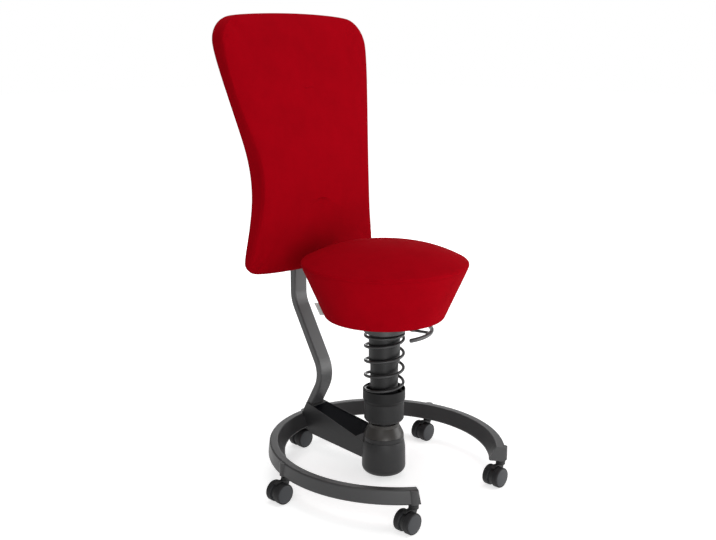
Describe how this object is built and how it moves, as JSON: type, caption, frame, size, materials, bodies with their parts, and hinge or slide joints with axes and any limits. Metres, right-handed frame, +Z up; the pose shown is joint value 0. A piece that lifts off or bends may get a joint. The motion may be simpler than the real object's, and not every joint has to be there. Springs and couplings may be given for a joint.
{
  "type": "balance stool with backrest",
  "caption": "Balance stool on a rolling foot ring: sprung tilting column, round domed swivel seat, tall waisted backrest on a bent flat bar, and a height lever with a curved handle.",
  "frame": {"origin": "on the floor, where the axis of the column meets it", "axes": "+Z up; +Y towards the backrest, so the sitter faces -Y; +X to the right of someone who looks at the stool from its front, which is the sitter's left"},
  "size_m": [0.6099, 0.6269, 1.163],
  "materials": {
    "cast_alloy": "cast light alloy under a satin powder coat, anthracite",
    "coated_metal": "satin powder coat, anthracite",
    "spring_steel": "satin black coated spring wire",
    "dark_cover": "matt black moulding",
    "black_plastic": "fine grained black moulding",
    "bright_steel": "zinc plated steel",
    "black_metal": "black lacquer",
    "rubber": "plain black rubber",
    "red_fabric": "plain woven upholstery, deep red",
    "tag_cloth": "bare grey woven tape",
    "caster_plastic": "grained black moulding",
    "wheel_plastic": "soft black tread over a black wheel body"
  },
  "bodies": {
    "base": {"foot_ring": "cast_alloy", "caster_sockets": "bright_steel", "support_arm": "cast_alloy", "arm_cover": "dark_cover", "frame_bolts": "bright_steel", "base_housing": "cast_alloy", "base_cap": "black_plastic", "dome_collar": "black_plastic", "elastomer_ring": "rubber", "pivot_pins_x": "bright_steel", "backrest_bar": "coated_metal"},
    "tilt_adjuster": {"tilt_ring": "black_plastic"},
    "gimbal": {"gimbal_ring": "bright_steel"},
    "column": {"pivot_pins_y": "bright_steel", "column_tube": "bright_steel", "column_bushes": "black_plastic", "lower_sleeve": "coated_metal"},
    "sleeve": {"adjusting_sleeve": "black_plastic"},
    "cup": {"spring_cup": "black_plastic"},
    "carriage": {"coil_spring": "spring_steel", "spring_plate": "coated_metal", "upper_sleeve": "coated_metal", "guide_tube": "bright_steel", "guide_bush": "black_plastic", "bump_stop": "rubber", "thrust_bearing": "bright_steel"},
    "rod": {"gas_rod": "bright_steel"},
    "seat": {"gas_cylinder": "black_metal", "seat_plate": "bright_steel", "lever_pin": "bright_steel", "seat_shell": "black_plastic", "seat_pan": "black_plastic", "seat_screws": "bright_steel", "seat_cushion": "red_fabric", "seat_tag": "tag_cloth"},
    "release": {"release_pin": "bright_steel"},
    "lever": {"height_lever": "coated_metal"},
    "slider": {"slider_bracket": "bright_steel", "hinge_pin": "bright_steel"},
    "knob": {"clamp_knob": "black_plastic"},
    "backrest": {"back_hinge_plate": "bright_steel", "rubber_buffers": "rubber", "backrest_board": "red_fabric", "backrest_cushion": "red_fabric"},
    "rear_caster": {"rear_caster_fork": "caster_plastic"},
    "rear_wheel_a_body": {"rear_wheel_a": "wheel_plastic"},
    "rear_wheel_b_body": {"rear_wheel_b": "wheel_plastic"},
    "left_caster": {"left_caster_fork": "caster_plastic"},
    "left_wheel_a_body": {"left_wheel_a": "wheel_plastic"},
    "left_wheel_b_body": {"left_wheel_b": "wheel_plastic"},
    "right_caster": {"right_caster_fork": "caster_plastic"},
    "right_wheel_a_body": {"right_wheel_a": "wheel_plastic"},
    "right_wheel_b_body": {"right_wheel_b": "wheel_plastic"},
    "front_left_caster": {"front_left_caster_fork": "caster_plastic"},
    "front_left_wheel_a_body": {"front_left_wheel_a": "wheel_plastic"},
    "front_left_wheel_b_body": {"front_left_wheel_b": "wheel_plastic"},
    "front_right_caster": {"front_right_caster_fork": "caster_plastic"},
    "front_right_wheel_a_body": {"front_right_wheel_a": "wheel_plastic"},
    "front_right_wheel_b_body": {"front_right_wheel_b": "wheel_plastic"}
  },
  "joints": [
    {"name": "tilt_adjuster_turn", "type": "hinge", "parent": "base", "child": "tilt_adjuster", "pos_m": [0, 0, 0.1063], "axis": [0, 0, 1], "range_deg": [0, 180]},
    {"name": "tilt_fore_aft", "type": "hinge", "parent": "base", "child": "gimbal", "pos_m": [0, 0, 0.093], "axis": [1, 0, 0], "range_deg": [-2, 7], "stiffness_Nm_per_rad": 450},
    {"name": "tilt_sideways", "type": "hinge", "parent": "gimbal", "child": "column", "pos_m": [0, 0, 0.093], "axis": [0, 1, 0], "range_deg": [-7, 7], "stiffness_Nm_per_rad": 450},
    {"name": "bounce_adjuster_turn", "type": "hinge", "parent": "column", "child": "sleeve", "pos_m": [0, 0, 0.18], "axis": [0, 0, 1], "range_deg": [0, 720]},
    {"name": "spring_cup_lift", "type": "slide", "parent": "column", "child": "cup", "axis": [0, 0, 1], "range_m": [0, 0.0101], "stiffness_N_per_m": 0.3, "springref_m": 1.95},
    {"name": "bounce", "type": "slide", "parent": "column", "child": "carriage", "axis": [0, 0, 1], "range_m": [-0.05, 0], "stiffness_N_per_m": 15000, "springref_m": 0.02, "deforming": ["coil_spring"]},
    {"name": "seat_swivel", "type": "hinge", "parent": "carriage", "child": "rod", "pos_m": [0, 0, 0.19], "axis": [0, 0, 1], "continuous": true},
    {"name": "seat_height", "type": "slide", "parent": "rod", "child": "seat", "axis": [0, 0, 1], "range_m": [-0.022, 0.085]},
    {"name": "lever_lift", "type": "hinge", "parent": "seat", "child": "lever", "pos_m": [0.02362, -0.02446, 0.47], "axis": [-0.7193, -0.6947, 0], "range_deg": [0, 8], "stiffness_Nm_per_rad": 2, "springref_deg": -5.73},
    {"name": "release_press", "type": "slide", "parent": "seat", "child": "release", "axis": [0, 0, 1], "range_m": [-0.0055, 0]},
    {"name": "backrest_height", "type": "slide", "parent": "base", "child": "slider", "axis": [0, 0, 1], "range_m": [-0.03, 0.03]},
    {"name": "clamp_knob_turn", "type": "hinge", "parent": "slider", "child": "knob", "pos_m": [0, 0.335, 0.675], "axis": [0, 1, 0], "range_deg": [0, 180]},
    {"name": "backrest_tilt", "type": "hinge", "parent": "slider", "child": "backrest", "pos_m": [0, 0.2908, 0.675], "axis": [1, 0, 0], "range_deg": [-5, 5], "stiffness_Nm_per_rad": 80},
    {"name": "rear_caster_swivel", "type": "hinge", "parent": "base", "child": "rear_caster", "pos_m": [0, 0.2905, 0.06], "axis": [0, 0, 1], "continuous": true},
    {"name": "rear_wheel_a_spin", "type": "hinge", "parent": "rear_caster", "child": "rear_wheel_a_body", "pos_m": [-0.0216, 0.2905, 0.0255], "axis": [0, 1, 0], "continuous": true},
    {"name": "rear_wheel_b_spin", "type": "hinge", "parent": "rear_caster", "child": "rear_wheel_b_body", "pos_m": [-0.0216, 0.2905, 0.0255], "axis": [0, 1, 0], "continuous": true},
    {"name": "left_caster_swivel", "type": "hinge", "parent": "base", "child": "left_caster", "pos_m": [-0.26943, 0.07642, 0.06], "axis": [0, 0, 1], "continuous": true},
    {"name": "left_wheel_a_spin", "type": "hinge", "parent": "left_caster", "child": "left_wheel_a_body", "pos_m": [-0.29103, 0.07642, 0.0255], "axis": [0, 1, 0], "continuous": true},
    {"name": "left_wheel_b_spin", "type": "hinge", "parent": "left_caster", "child": "left_wheel_b_body", "pos_m": [-0.29103, 0.07642, 0.0255], "axis": [0, 1, 0], "continuous": true},
    {"name": "right_caster_swivel", "type": "hinge", "parent": "base", "child": "right_caster", "pos_m": [0.26943, 0.07642, 0.06], "axis": [0, 0, 1], "continuous": true},
    {"name": "right_wheel_a_spin", "type": "hinge", "parent": "right_caster", "child": "right_wheel_a_body", "pos_m": [0.24783, 0.07642, 0.0255], "axis": [0, 1, 0], "continuous": true},
    {"name": "right_wheel_b_spin", "type": "hinge", "parent": "right_caster", "child": "right_wheel_b_body", "pos_m": [0.24783, 0.07642, 0.0255], "axis": [0, 1, 0], "continuous": true},
    {"name": "front_left_caster_swivel", "type": "hinge", "parent": "base", "child": "front_left_caster", "pos_m": [-0.16843, -0.24627, 0.06], "axis": [0, 0, 1], "continuous": true},
    {"name": "front_left_wheel_a_spin", "type": "hinge", "parent": "front_left_caster", "child": "front_left_wheel_a_body", "pos_m": [-0.19003, -0.24627, 0.0255], "axis": [0, 1, 0], "continuous": true},
    {"name": "front_left_wheel_b_spin", "type": "hinge", "parent": "front_left_caster", "child": "front_left_wheel_b_body", "pos_m": [-0.19003, -0.24627, 0.0255], "axis": [0, 1, 0], "continuous": true},
    {"name": "front_right_caster_swivel", "type": "hinge", "parent": "base", "child": "front_right_caster", "pos_m": [0.16843, -0.24627, 0.06], "axis": [0, 0, 1], "continuous": true},
    {"name": "front_right_wheel_a_spin", "type": "hinge", "parent": "front_right_caster", "child": "front_right_wheel_a_body", "pos_m": [0.14683, -0.24627, 0.0255], "axis": [0, 1, 0], "continuous": true},
    {"name": "front_right_wheel_b_spin", "type": "hinge", "parent": "front_right_caster", "child": "front_right_wheel_b_body", "pos_m": [0.14683, -0.24627, 0.0255], "axis": [0, 1, 0], "continuous": true}
  ],
  "couplings": [
    {"joint": "spring_cup_lift", "follows": "bounce_adjuster_turn", "m_per_rad": 0.0007958},
    {"joint": "release_press", "follows": "lever_lift", "m_per_rad": -0.038}
  ]
}
